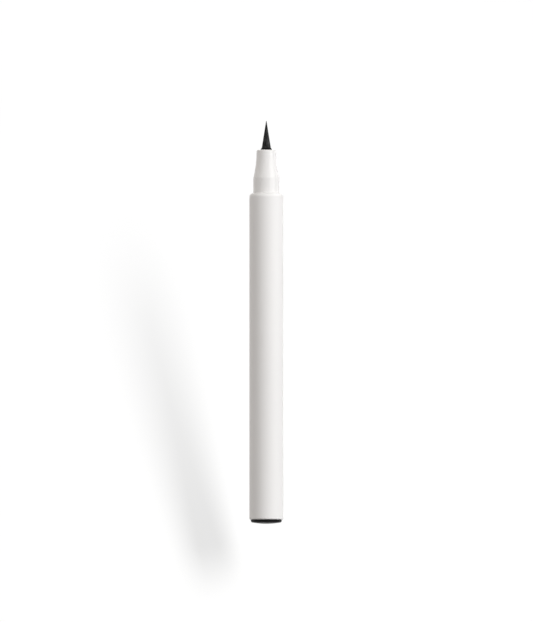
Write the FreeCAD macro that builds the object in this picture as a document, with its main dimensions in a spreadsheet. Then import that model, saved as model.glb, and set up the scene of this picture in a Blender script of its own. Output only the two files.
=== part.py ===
# Liquid eyeliner pen, uncapped, standing on its tail with the brush up.
# Millimetres. Z runs along the pen, and the origin is the lowest point of the tail plug's dome.
# A free-ink pen: an ink tank with a loose mixing ball, a finned collector that evens out the flow,
# a fibre wick to the brush, and a white nozzle, ferrule and barrel round them.
import FreeCAD, Part
import math
import os

import Sketcher

doc = FreeCAD.newDocument("liquid_eyeliner_pen")

# Driving dimensions

SIZES = {
    # the barrel
    "barrel_diameter": 10.0,
    "barrel_length": 96.4,
    "barrel_wall": 0.85,
    "shoulder_radius": 1.1,
    "tail_edge_radius": 0.3,
    "tail_lead_in": 0.25,
    "mouth_depth": 22.0,
    # the tail plug
    "plug_inset": 0.5,
    "plug_head_height": 1.15,
    "plug_dome_rise": 0.35,
    "plug_edge_radius": 0.45,
    "plug_spigot_length": 5.0,
    "plug_wall": 0.9,
    "plug_floor": 1.0,
    "plug_bead_height_up": 2.2,
    # snap beads of the plug and the nozzle, and the grooves that they click into
    "snap_height": 0.12,
    "snap_half_width": 0.45,
    # the ink tank and its stopper
    "tank_air_gap": 0.75,
    "tank_wall": 0.7,
    "tank_flange_thickness": 1.5,
    "tank_ring_height_up": 9.0,
    "stopper_flange_gap": 0.25,
    "stopper_flange_thickness": 1.0,
    "stopper_length": 4.0,
    "stopper_rib_height": 0.2,
    "stopper_rib_half_width": 0.45,
    "stopper_core_diameter": 2.6,
    "stopper_roof": 1.1,
    "stopper_rim": 0.48,
    "stopper_dish_depth": 0.3,
    # the loose ball
    "ball_diameter": 3.5,
    # the ink collector and its seal
    "collector_spigot_length": 5.0,
    "collector_flange_thickness": 1.5,
    "collector_core_wall": 0.69,
    "collector_end_room": 0.3,
    "fin_count": 26,
    "fin_thickness": 0.45,
    "slot_width": 0.5,
    "slot_depth": 0.3,
    "slot_count": 2,
    "seal_section": 0.7,
    "seal_height_up": 2.5,
    # the wick
    "wick_diameter": 1.5,
    "wick_reach": 1.0,
    "wick_edge": 0.2,
    "wick_point_length": 0.9,
    "wick_point_diameter": 0.7,
    # the nozzle
    "skirt_step": 0.65,
    "skirt_wall": 0.75,
    "skirt_bead_depth": 4.0,
    "nozzle_length": 12.8,
    "nozzle_bore_setback": 1.6,
    "nozzle_tip_share": 0.727,
    "nozzle_waist_share": 0.751,
    "nozzle_waist_depth": 1.9,
    "nozzle_rim_radius": 0.35,
    "cap_ledge": 1.15,
    "cap_seat_length": 4.5,
    "cap_seat_blend": 3.0,
    # the brush ferrule
    "ferrule_wall": 0.36,
    "ferrule_step": 0.4,
    "ferrule_body_length": 4.5,
    "ferrule_neck_length": 3.5,
    "flare_height": 0.62,
    "flare_lip": 0.13,
    "air_groove_width": 0.4,
    "air_groove_depth": 0.15,
    "air_groove_count": 3,
    "retainer_length": 1.6,
    # the bristles
    "bristle_diameter": 2.6,
    "bristle_length": 7.95,
    "bristle_point_diameter": 0.1,
    "root_flange_step": 0.3,
    "root_flange_thickness": 0.8,
    "root_hole_depth": 2.5,
    "root_cup_rim": 0.6,
    # clearances on the radius, and the ball's resting gap
    "press_gap": 0.02,
    "drop_in_gap": 0.06,
    "flex_gap": 0.04,
    "ball_gap": 0.1,
    # how far a cut runs past what it cuts
    "overrun": 0.5,
}

sheet = doc.addObject("Spreadsheet::Sheet", "Dims")
for row, (alias, value) in enumerate(SIZES.items(), start=1):
    sheet.set(f"A{row}", alias)
    sheet.set(f"B{row}", str(value))
    sheet.setAlias(f"B{row}", alias)
doc.recompute()

# Heights along the pen, as expressions on the sheet

TAIL = "Dims.plug_head_height"
MOUTH = f"({TAIL} + Dims.barrel_length)"
STEP = f"({MOUTH} - Dims.mouth_depth)"
PLUG_TOP = f"({TAIL} + Dims.plug_spigot_length)"
TANK_BOTTOM = f"({PLUG_TOP} + Dims.stopper_flange_thickness)"
STOPPER_TOP = f"({TANK_BOTTOM} + Dims.stopper_length)"
COLLECTOR_BOTTOM = f"({STEP} - Dims.collector_spigot_length)"
SKIRT_BOTTOM = f"({STEP} + Dims.collector_flange_thickness)"
SEAT_TOP = f"({MOUTH} + Dims.cap_seat_length)"
TIP = f"({MOUTH} + Dims.nozzle_length)"
WAIST = f"({TIP} - Dims.nozzle_waist_depth)"
FERRULE_STOP = f"({TIP} - Dims.ferrule_neck_length)"
FERRULE_BOTTOM = f"({FERRULE_STOP} - Dims.ferrule_body_length)"
BORE_TOP = f"({FERRULE_BOTTOM} - Dims.nozzle_bore_setback)"
ROOT_BOTTOM = f"({FERRULE_BOTTOM} + Dims.retainer_length)"
ROOT_FLANGE_TOP = f"({ROOT_BOTTOM} + Dims.root_flange_thickness)"
ROOT_HOLE_TOP = f"({ROOT_BOTTOM} + Dims.root_hole_depth)"
PIVOT = f"({TIP} + Dims.flare_height)"
POINT = f"({PIVOT} + Dims.bristle_length)"
WICK_BOTTOM = f"({COLLECTOR_BOTTOM} - Dims.wick_reach)"
WICK_TOP = f"({ROOT_HOLE_TOP} - Dims.drop_in_gap)"
SEAL_MIDDLE = f"({COLLECTOR_BOTTOM} + Dims.seal_height_up)"
FINS_TOP = f"({BORE_TOP} - Dims.collector_end_room)"
FIN_PITCH = f"(({FINS_TOP} - {SKIRT_BOTTOM}) / Dims.fin_count)"

# Radii

BARREL_R = "Dims.barrel_diameter / 2"
BORE_R = f"({BARREL_R} - Dims.barrel_wall)"
PLUG_HEAD_R = f"({BARREL_R} - Dims.plug_inset)"
PLUG_R = f"({BORE_R} - Dims.press_gap)"
SKIRT_R = f"({BORE_R} - Dims.skirt_step)"
SKIRT_BORE_R = f"({SKIRT_R} - Dims.skirt_wall)"
MOUTH_R = f"({SKIRT_R} + Dims.press_gap)"
SEAT_R = f"({BARREL_R} - Dims.cap_ledge)"
WAIST_R = f"({SEAT_R} * Dims.nozzle_waist_share)"
TIP_R = f"({SEAT_R} * Dims.nozzle_tip_share)"
TANK_R = f"({BORE_R} - Dims.tank_air_gap)"
TANK_BORE_R = f"({TANK_R} - Dims.tank_wall)"
TANK_FLANGE_R = f"({BORE_R} - Dims.drop_in_gap)"
STOPPER_FLANGE_R = f"({BORE_R} - Dims.stopper_flange_gap)"
STOPPER_RIB_R = f"({TANK_BORE_R} - Dims.press_gap)"
STOPPER_R = f"({STOPPER_RIB_R} - Dims.stopper_rib_height)"
DISH_R = f"({STOPPER_R} - Dims.stopper_rim)"
BALL_R = "Dims.ball_diameter / 2"
WICK_R = "Dims.wick_diameter / 2"
WICK_BORE_R = f"({WICK_R} + Dims.drop_in_gap)"
COLLECTOR_SPIGOT_R = f"({TANK_BORE_R} - Dims.drop_in_gap)"
COLLECTOR_FLANGE_R = f"({MOUTH_R} - Dims.drop_in_gap)"
SEAL_GROOVE_R = f"({TANK_BORE_R} - Dims.seal_section - Dims.press_gap)"
CORE_R = f"({WICK_BORE_R} + Dims.collector_core_wall)"
SLOT_R = f"({CORE_R} - Dims.slot_depth)"
FIN_R = f"({SKIRT_BORE_R} - Dims.drop_in_gap)"
BRISTLE_R = "Dims.bristle_diameter / 2"
FERRULE_BORE_R = f"({BRISTLE_R} + Dims.flex_gap)"
FLARE_TOP_R = f"({FERRULE_BORE_R} + Dims.flare_lip)"
NECK_R = f"({FERRULE_BORE_R} + Dims.ferrule_wall)"
NECK_HOLE_R = f"({NECK_R} + Dims.press_gap)"
FERRULE_R = f"({NECK_R} + Dims.ferrule_step)"
FERRULE_HOLE_R = f"({FERRULE_R} + Dims.press_gap)"
ROOT_FLANGE_R = f"({BRISTLE_R} + Dims.root_flange_step)"
RETAINER_HOLE_R = f"({ROOT_FLANGE_R} + Dims.press_gap)"


# Sketches and features that the pieces share


def number(expression):
    """The present value of an expression on the sheet."""
    found = sheet.evalExpression(expression)
    return float(getattr(found, "Value", found))


def plane(body, role):
    """One of a body's own origin planes."""
    return next(feature for feature in body.Origin.OriginFeatures if feature.Role == role)


def new_sketch(body, name, role):
    """An empty sketch on one of the body's origin planes."""
    sketch = body.newObject("Sketcher::SketchObject", name)
    sketch.AttachmentSupport = [(plane(body, role), "")]
    sketch.MapMode = "FlatFace"
    return sketch


def place_point(sketch, name, corner, across, up):
    """Ties a sketch point to two expressions. A value written as 0 puts it on that axis of the sketch."""
    horizontal_axis, vertical_axis = -1, -2
    for kind, expression, axis in (("DistanceX", across, vertical_axis), ("DistanceY", up, horizontal_axis)):
        if expression == "0":
            sketch.addConstraint(Sketcher.Constraint("PointOnObject", *corner, axis))
            continue
        added = sketch.addConstraint(Sketcher.Constraint(kind, -1, 1, *corner, number(expression)))
        label = f"{name}_{'across' if kind == 'DistanceX' else 'up'}"
        sketch.renameConstraint(added, label)
        sketch.setExpression(f"Constraints.{label}", expression)


def arc_between(start, end, centre, bulge_left):
    """An arc from start to end about a centre, and the sketch's numbers for its two ends."""
    angles = [math.atan2(p[1] - centre[1], p[0] - centre[0]) for p in (start, end)]
    radius = math.hypot(start[0] - centre[0], start[1] - centre[1])
    circle = Part.Circle(FreeCAD.Vector(*centre, 0), FreeCAD.Vector(0, 0, 1), radius)
    if bulge_left:
        return Part.ArcOfCircle(circle, angles[1], angles[0]), (2, 1)
    return Part.ArcOfCircle(circle, angles[0], angles[1]), (1, 2)


def axis_centre(start, end):
    """The centre on the pen's axis of an arc through two points."""
    rise = (end[0] ** 2 + end[1] ** 2 - start[0] ** 2 - start[1] ** 2) / (2 * (end[1] - start[1]))
    return 0.0, rise


def tangent_centre(start, end, after):
    """The centre of the arc from start to end that runs on smoothly along the line from end to after."""
    along = (after[0] - end[0], after[1] - end[1])
    normal = (-along[1], along[0])
    chord = (start[0] - end[0], start[1] - end[1])
    reach = (chord[0] ** 2 + chord[1] ** 2) / (2 * (chord[0] * normal[0] + chord[1] * normal[1]))
    return end[0] + reach * normal[0], end[1] + reach * normal[1]


def outline_sketch(body, name, outline):
    """A closed outline in the XZ plane, right of the axis. Each entry is (radius, height), or (radius, height, arc)
    where the edge that leaves it is an arc: "dome" has its centre on the axis, "sweep" runs into the next line."""
    sketch = new_sketch(body, name, "XZ_Plane")
    points = [(number(entry[0]), number(entry[1])) for entry in outline]
    count = len(points)
    ends = []
    for i, entry in enumerate(outline):
        start, end, after = points[i], points[(i + 1) % count], points[(i + 2) % count]
        if len(entry) == 2:
            line = Part.LineSegment(FreeCAD.Vector(*start, 0), FreeCAD.Vector(*end, 0))
            ends.append((sketch.addGeometry(line), (1, 2)))
            continue
        centre = axis_centre(start, end) if entry[2] == "dome" else tangent_centre(start, end, after)
        turn = (start[0] - centre[0]) * (end[1] - centre[1]) - (start[1] - centre[1]) * (end[0] - centre[0])
        arc, order = arc_between(start, end, centre, turn < 0)
        ends.append((sketch.addGeometry(arc), order))
    for i, entry in enumerate(outline):
        geometry, order = ends[i]
        following, following_order = ends[(i + 1) % count]
        joined = (geometry, order[1], following, following_order[0])
        smooth = len(entry) == 3 and entry[2] == "sweep"
        sketch.addConstraint(Sketcher.Constraint("Tangent" if smooth else "Coincident", *joined))
        place_point(sketch, f"corner_{i}", (geometry, order[0]), entry[0], entry[1])
        if len(entry) == 3 and entry[2] == "dome":
            centre_point, vertical_axis = 3, -2
            sketch.addConstraint(Sketcher.Constraint("PointOnObject", geometry, centre_point, vertical_axis))
    return sketch


def turn_outline(body, name, outline):
    """Revolves an outline about the pen's axis, and adds it to the body."""
    sketch = outline_sketch(body, f"{name}_outline", outline)
    turned = body.newObject("PartDesign::Revolution", name)
    turned.Profile = sketch
    turned.ReferenceAxis = (sketch, ["V_Axis"])
    turned.Angle = 360
    doc.recompute()
    return turned


def turned_body(label, outline):
    """A body with that label, made by turning one outline."""
    body = doc.addObject("PartDesign::Body", label)
    turn_outline(body, f"{label}_turned", outline)
    return body


def round_ring(body, name, radius, across, up):
    """Rounds the circular edge that lies at that radius and height."""
    near = 1e-4
    base = body.Tip
    rings = [
        f"Edge{i}"
        for i, edge in enumerate(base.Shape.Edges, start=1)
        if not edge.Degenerated
        and isinstance(edge.Curve, Part.Circle)
        and abs(edge.Curve.Radius - number(across)) < near
        and abs(edge.Curve.Center.z - number(up)) < near
    ]
    fillet = body.newObject("PartDesign::Fillet", name)
    fillet.Base = (base, rings)
    fillet.setExpression("Radius", radius)
    doc.recompute()


def cut_slot(body, name, inner, outer, width, bottom, length):
    """Cuts a straight slot upwards from a height, from an inner to an outer radius."""
    sketch = new_sketch(body, f"{name}_sketch", "XY_Plane")
    sketch.setExpression("AttachmentOffset.Base.z", bottom)
    half = f"({width} / 2)"
    corners = [(inner, f"-{half}"), (outer, f"-{half}"), (outer, half), (inner, half)]
    places = [FreeCAD.Vector(number(across), number(up), 0) for across, up in corners]
    sides = [sketch.addGeometry(Part.LineSegment(places[i], places[(i + 1) % 4])) for i in range(4)]
    for i, (across, up) in enumerate(corners):
        sketch.addConstraint(Sketcher.Constraint("Coincident", sides[i], 2, sides[(i + 1) % 4], 1))
        place_point(sketch, f"slot_{i}", (sides[i], 1), across, up)
    before = body.Shape.Volume
    pocket = body.newObject("PartDesign::Pocket", name)
    pocket.Profile = sketch
    pocket.Reversed = True
    pocket.setExpression("Length", length)
    doc.recompute()
    if not body.Shape.Volume < before:
        raise RuntimeError(f"{name} cuts nothing")
    return pocket


def repeat_round(body, name, slots, count):
    """Repeats slots round the pen's axis."""
    repeat = body.newObject("PartDesign::PolarPattern", name)
    repeat.Originals = slots
    repeat.Axis = (slots[0].Profile[0], ["N_Axis"])
    repeat.Angle = 360
    repeat.setExpression("Occurrences", count)
    body.Tip = repeat
    doc.recompute()


def snap(radius, middle):
    """Three corners of a snap bead, or of its groove, going up a wall of that radius."""
    return [
        (radius, f"{middle} - Dims.snap_half_width"),
        (f"{radius} + Dims.snap_height", middle),
        (radius, f"{middle} + Dims.snap_half_width"),
    ]


# The pieces, from the tail up

STOPPER_RIB_SHARES = (1 / 3, 2 / 3)
PLUG_BEAD = f"({TAIL} + Dims.plug_bead_height_up)"
SKIRT_BEAD = f"({MOUTH} - Dims.skirt_bead_depth)"


def barrel():
    """The white outer sleeve: a wide bore from the tail, and a narrower mouth that grips the nozzle."""
    body = turned_body("barrel", [
        (f"{BORE_R} + Dims.tail_lead_in", TAIL),
        (BARREL_R, TAIL),
        (BARREL_R, MOUTH),
        (MOUTH_R, MOUTH),
        *reversed(snap(MOUTH_R, SKIRT_BEAD)),
        (MOUTH_R, STEP),
        (BORE_R, STEP),
        *reversed(snap(BORE_R, PLUG_BEAD)),
        (BORE_R, f"{TAIL} + Dims.tail_lead_in"),
    ])
    round_ring(body, "shoulder", "Dims.shoulder_radius", BARREL_R, MOUTH)
    round_ring(body, "tail_edge", "Dims.tail_edge_radius", BARREL_R, TAIL)
    return body


def end_plug():
    """The black plug at the tail: a domed head against the barrel's end, and a hollow spigot that snaps in."""
    hollow = f"({PLUG_R} - Dims.plug_wall)"
    floor = f"({TAIL} + Dims.plug_floor)"
    body = turned_body("end_plug", [
        ("0", "0", "dome"),
        (PLUG_HEAD_R, "Dims.plug_dome_rise"),
        (PLUG_HEAD_R, TAIL),
        (PLUG_R, TAIL),
        *snap(PLUG_R, PLUG_BEAD),
        (PLUG_R, PLUG_TOP),
        (hollow, PLUG_TOP),
        (hollow, floor),
        ("0", floor),
    ])
    round_ring(body, "plug_edge", "Dims.plug_edge_radius", PLUG_HEAD_R, "Dims.plug_dome_rise")
    return body


def ink_tank():
    """The translucent tube that holds the ink, centred in the barrel by a flange and a ring."""
    ring_bottom = f"({TANK_BOTTOM} + Dims.tank_ring_height_up)"
    ring_top = f"({ring_bottom} + Dims.tank_flange_thickness)"
    flange_bottom = f"({STEP} - Dims.tank_flange_thickness)"
    return turned_body("ink_tank", [
        (TANK_BORE_R, TANK_BOTTOM),
        (TANK_R, TANK_BOTTOM),
        (TANK_R, ring_bottom),
        (TANK_FLANGE_R, ring_bottom),
        (TANK_FLANGE_R, ring_top),
        (TANK_R, ring_top),
        (TANK_R, flange_bottom),
        (TANK_FLANGE_R, flange_bottom),
        (TANK_FLANGE_R, STEP),
        (TANK_BORE_R, STEP),
    ])


def tank_stopper():
    """The ribbed stopper in the tank's lower end, with a shallow dish that the ball comes to rest in."""
    core = "Dims.stopper_core_diameter / 2"
    core_top = f"({STOPPER_TOP} - Dims.stopper_roof)"
    ribs = []
    for share in STOPPER_RIB_SHARES:
        middle = f"({TANK_BOTTOM} + Dims.stopper_length * {share})"
        ribs += [
            (STOPPER_R, f"{middle} - Dims.stopper_rib_half_width"),
            (STOPPER_RIB_R, middle),
            (STOPPER_R, f"{middle} + Dims.stopper_rib_half_width"),
        ]
    return turned_body("tank_stopper", [
        (core, PLUG_TOP),
        (STOPPER_FLANGE_R, PLUG_TOP),
        (STOPPER_FLANGE_R, TANK_BOTTOM),
        (STOPPER_R, TANK_BOTTOM),
        *ribs,
        (STOPPER_R, STOPPER_TOP),
        (DISH_R, STOPPER_TOP),
        ("0", f"{STOPPER_TOP} - Dims.stopper_dish_depth"),
        ("0", core_top),
        (core, core_top),
    ])


def mixing_ball():
    """The loose steel ball that stirs the ink when the pen is shaken, at rest over the stopper's dish."""
    dish_slope = f"(Dims.stopper_dish_depth / {DISH_R})"
    rest = f"{STOPPER_TOP} - Dims.stopper_dish_depth + {BALL_R} * sqrt(1 + {dish_slope} ^ 2) + Dims.ball_gap"
    ball = doc.addObject("Part::Sphere", "mixing_ball")
    ball.setExpression("Radius", BALL_R)
    ball.setExpression("Placement.Base.z", rest)
    doc.recompute()
    return ball


def ink_collector():
    """The finned regulator: a spigot sealed into the tank, a flange, and a stack of slotted fins."""
    half_groove = "(Dims.seal_section / 2 + Dims.press_gap)"
    body = turned_body("ink_collector", [
        (WICK_BORE_R, COLLECTOR_BOTTOM),
        (COLLECTOR_SPIGOT_R, COLLECTOR_BOTTOM),
        (COLLECTOR_SPIGOT_R, f"{SEAL_MIDDLE} - {half_groove}"),
        (SEAL_GROOVE_R, f"{SEAL_MIDDLE} - {half_groove}"),
        (SEAL_GROOVE_R, f"{SEAL_MIDDLE} + {half_groove}"),
        (COLLECTOR_SPIGOT_R, f"{SEAL_MIDDLE} + {half_groove}"),
        (COLLECTOR_SPIGOT_R, STEP),
        (COLLECTOR_FLANGE_R, STEP),
        (COLLECTOR_FLANGE_R, SKIRT_BOTTOM),
        (CORE_R, SKIRT_BOTTOM),
        (CORE_R, FERRULE_BOTTOM),
        (WICK_BORE_R, FERRULE_BOTTOM),
    ])
    fin_bottom = f"({SKIRT_BOTTOM} + {FIN_PITCH} - Dims.fin_thickness)"
    fin_top = f"({SKIRT_BOTTOM} + {FIN_PITCH})"
    fin = turn_outline(body, "first_fin", [
        (SLOT_R, fin_bottom),
        (FIN_R, fin_bottom),
        (FIN_R, fin_top),
        (SLOT_R, fin_top),
    ])
    stack = body.newObject("PartDesign::LinearPattern", "fin_stack")
    stack.Originals = [fin]
    stack.Direction = (plane(body, "XY_Plane"), [""])
    stack.setExpression("Length", f"{FIN_PITCH} * (Dims.fin_count - 1)")
    stack.setExpression("Occurrences", "Dims.fin_count")
    body.Tip = stack
    doc.recompute()
    slot = cut_slot(body, "flow_slot", SLOT_R, f"{FIN_R} + Dims.overrun", "Dims.slot_width",
                    SKIRT_BOTTOM, f"{FINS_TOP} - {SKIRT_BOTTOM}")
    repeat_round(body, "flow_slots", [slot], "Dims.slot_count")
    cut_slot(body, "air_channel", WICK_R, f"{CORE_R} - Dims.slot_depth / 2", "Dims.slot_width",
             COLLECTOR_BOTTOM, f"{FINS_TOP} - {COLLECTOR_BOTTOM}")
    return body


def collector_seal():
    """The rubber ring in the collector's groove, squeezed against the tank's bore."""
    ring = doc.addObject("Part::Torus", "collector_seal")
    ring.setExpression("Radius1", f"{SEAL_GROOVE_R} + Dims.seal_section / 2 + Dims.press_gap / 2")
    ring.setExpression("Radius2", "Dims.seal_section / 2")
    ring.setExpression("Placement.Base.z", SEAL_MIDDLE)
    doc.recompute()
    return ring


def feed_wick():
    """The bonded fibre rod that carries ink from the tank, through the collector, into the bristles."""
    return turned_body("feed_wick", [
        ("0", WICK_BOTTOM),
        (f"{WICK_R} - Dims.wick_edge", WICK_BOTTOM),
        (WICK_R, f"{WICK_BOTTOM} + Dims.wick_edge"),
        (WICK_R, f"{WICK_TOP} - Dims.wick_point_length"),
        ("Dims.wick_point_diameter / 2", WICK_TOP),
        ("0", WICK_TOP),
    ])


def nozzle():
    """The glossy white front section: a skirt in the barrel's mouth, the cap's seat, and a swept cone."""
    body = turned_body("nozzle", [
        (SKIRT_BORE_R, SKIRT_BOTTOM),
        (SKIRT_R, SKIRT_BOTTOM),
        *snap(SKIRT_R, SKIRT_BEAD),
        (SKIRT_R, MOUTH),
        (SEAT_R, MOUTH),
        (SEAT_R, SEAT_TOP, "sweep"),
        (WAIST_R, WAIST),
        (TIP_R, TIP),
        (NECK_HOLE_R, TIP),
        (NECK_HOLE_R, FERRULE_STOP),
        (FERRULE_HOLE_R, FERRULE_STOP),
        (FERRULE_HOLE_R, BORE_TOP),
        (SKIRT_BORE_R, BORE_TOP),
    ])
    round_ring(body, "nozzle_rim", "Dims.nozzle_rim_radius", TIP_R, TIP)
    round_ring(body, "cap_seat_edge", "Dims.cap_seat_blend", SEAT_R, SEAT_TOP)
    return body


def brush_ferrule():
    """The black holder of the bristles, pushed up from inside the nozzle, with a flared lip and air grooves."""
    body = turned_body("brush_ferrule", [
        (RETAINER_HOLE_R, FERRULE_BOTTOM),
        (FERRULE_R, FERRULE_BOTTOM),
        (FERRULE_R, FERRULE_STOP),
        (NECK_R, FERRULE_STOP),
        (NECK_R, TIP),
        (FLARE_TOP_R, PIVOT),
        (FERRULE_BORE_R, PIVOT),
        (FERRULE_BORE_R, ROOT_FLANGE_TOP),
        (RETAINER_HOLE_R, ROOT_FLANGE_TOP),
    ])
    outside = f"{FERRULE_R} + Dims.overrun"
    width = "Dims.air_groove_width"
    along_body = cut_slot(body, "body_groove", f"{FERRULE_R} - Dims.air_groove_depth", outside, width,
                          FERRULE_BOTTOM, "Dims.ferrule_body_length")
    neck_groove_bottom = f"({ROOT_FLANGE_TOP} + Dims.ferrule_wall)"
    along_neck = cut_slot(body, "neck_groove", f"{NECK_R} - Dims.air_groove_depth", outside, width,
                          neck_groove_bottom, f"{TIP} + Dims.air_groove_depth - {neck_groove_bottom}")
    repeat_round(body, "air_grooves", [along_body, along_neck], "Dims.air_groove_count")
    return body


def wick_retainer():
    """The bush pressed in behind the bristles' root, which also centres the wick."""
    return turned_body("wick_retainer", [
        (WICK_BORE_R, FERRULE_BOTTOM),
        (ROOT_FLANGE_R, FERRULE_BOTTOM),
        (ROOT_FLANGE_R, ROOT_BOTTOM),
        (WICK_BORE_R, ROOT_BOTTOM),
    ])


def bristle_root():
    """The held part of the bristle bundle: its fused flange, its shank, and the cup that the tuft bends in."""
    cup = f"({BRISTLE_R} + Dims.flex_gap)"
    cup_rim = f"{PIVOT} - Dims.root_cup_rim"
    return turned_body("bristle_root", [
        (WICK_BORE_R, ROOT_BOTTOM),
        (ROOT_FLANGE_R, ROOT_BOTTOM),
        (ROOT_FLANGE_R, ROOT_FLANGE_TOP),
        (BRISTLE_R, ROOT_FLANGE_TOP),
        (BRISTLE_R, cup_rim),
        (f"sqrt({cup} ^ 2 - Dims.root_cup_rim ^ 2)", cup_rim, "dome"),
        ("0", f"{PIVOT} - {cup}"),
        ("0", ROOT_HOLE_TOP),
        (WICK_BORE_R, ROOT_HOLE_TOP),
    ])


def bristle_tuft():
    """The free cone of bristles, with a round root so that it can bend to either side."""
    return turned_body("bristle_tuft", [
        ("0", f"{PIVOT} - {BRISTLE_R}", "dome"),
        (BRISTLE_R, PIVOT),
        ("Dims.bristle_point_diameter / 2", POINT),
        ("0", POINT),
    ])


PIECES = [
    barrel,
    end_plug,
    ink_tank,
    tank_stopper,
    mixing_ball,
    ink_collector,
    collector_seal,
    feed_wick,
    nozzle,
    brush_ferrule,
    wick_retainer,
    bristle_root,
    bristle_tuft,
]


# Building, checking and writing


def check(built):
    """Stops if a feature failed, or a piece isn't one sound solid."""
    failed = [o.Name for o in doc.Objects if {"Invalid", "Error"} & set(o.State)]
    for piece in built:
        shape = piece.Shape
        if shape.isNull() or not shape.isValid() or len(shape.Solids) != 1:
            failed.append(piece.Label)
    if failed:
        raise RuntimeError(f"these failed: {', '.join(failed)}")


def write(built):
    """One STEP file for each piece, named by its label."""
    os.makedirs("parts", exist_ok=True)
    for piece in built:
        piece.Shape.exportStep(os.path.join("parts", f"{piece.Label}.step"))
        box = piece.Shape.BoundBox
        print(f"{piece.Label}: {box.ZMin:.3f} to {box.ZMax:.3f}, {piece.Shape.Volume:.2f} mm3")


built_pieces = [make() for make in PIECES]
doc.recompute()
check(built_pieces)
write(built_pieces)

ball_top = built_pieces[PIECES.index(mixing_ball)].Shape.BoundBox.ZMax
print(f"bend pivot height {number(PIVOT):.4f}")
print(f"ball travel {number(WICK_BOTTOM) - number('Dims.ball_gap') - ball_top:.4f}")
print(f"cap seat {number(MOUTH):.4f} to {number(SEAT_TOP):.4f}, radius {number(SEAT_R):.4f}")
print(f"barrel {number(TAIL):.4f} to {number(MOUTH):.4f}, radius {number(BARREL_R):.4f}")
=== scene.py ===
import math
import random

import bmesh
import bpy
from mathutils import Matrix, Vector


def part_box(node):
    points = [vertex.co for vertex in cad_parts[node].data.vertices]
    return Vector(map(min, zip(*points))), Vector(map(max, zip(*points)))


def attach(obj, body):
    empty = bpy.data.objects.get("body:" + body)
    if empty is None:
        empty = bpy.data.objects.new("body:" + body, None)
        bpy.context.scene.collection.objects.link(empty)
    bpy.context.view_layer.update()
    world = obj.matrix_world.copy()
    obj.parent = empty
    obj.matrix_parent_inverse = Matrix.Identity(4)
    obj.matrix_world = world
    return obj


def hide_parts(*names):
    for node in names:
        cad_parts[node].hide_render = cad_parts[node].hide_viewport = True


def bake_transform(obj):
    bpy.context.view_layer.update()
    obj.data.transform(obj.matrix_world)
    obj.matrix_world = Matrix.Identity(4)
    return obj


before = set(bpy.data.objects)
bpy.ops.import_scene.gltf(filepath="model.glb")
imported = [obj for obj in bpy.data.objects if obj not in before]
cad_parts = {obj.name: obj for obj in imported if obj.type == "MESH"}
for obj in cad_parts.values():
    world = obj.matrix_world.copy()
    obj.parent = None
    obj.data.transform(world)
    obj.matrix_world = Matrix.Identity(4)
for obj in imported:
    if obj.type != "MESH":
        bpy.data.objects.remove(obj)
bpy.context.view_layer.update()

bl_info = {
    "name": "Liquid eyeliner pen",
    "version": (1, 0, 0),
    "blender": (4, 5, 0),
    "location": "3D View > Sidebar > Eyeliner",
    "description": "Models an uncapped liquid eyeliner pen, finishes its pieces and sets the stage",
    "category": "Object",
}

MM = 0.001
DEG = math.radians(1.0)
# Points this near are one point, ends of edges are found within this, and edges flatter than
# this are shaded smooth
MERGE_WITHIN = 0.0005 * MM
FIND_WITHIN = 0.002 * MM
SMOOTH_UNDER = 32.0 * DEG
# Most of a noise's values lie between these
NOISE_LOW, NOISE_HIGH = 0.3, 0.7
# Share of the shadow lamp's light that the sweep's paper gives back
PAPER_SHADE = 0.1


def bottom(node):
    """Height of a CAD node's lowest point."""
    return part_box(node)[0].z


def top(node):
    """Height of a CAD node's highest point."""
    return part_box(node)[1].z


def outer_radius(node):
    """Largest radius of a round CAD node."""
    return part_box(node)[1].x


def setting(kind, **limits):
    """A maker of one kind of value that a user would change."""

    def make(name, description, default):
        return kind(name=name, description=description, default=default, **limits)

    return make


length = setting(bpy.props.FloatProperty, min=0.0, precision=5, unit="LENGTH", subtype="DISTANCE")
amount = setting(bpy.props.FloatProperty, min=0.0, precision=3)
count = setting(bpy.props.IntProperty, min=1)
angle = setting(bpy.props.FloatProperty, unit="ROTATION", subtype="ANGLE")
colour = setting(bpy.props.FloatVectorProperty, min=0.0, max=1.0, size=3, subtype="COLOR")


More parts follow.
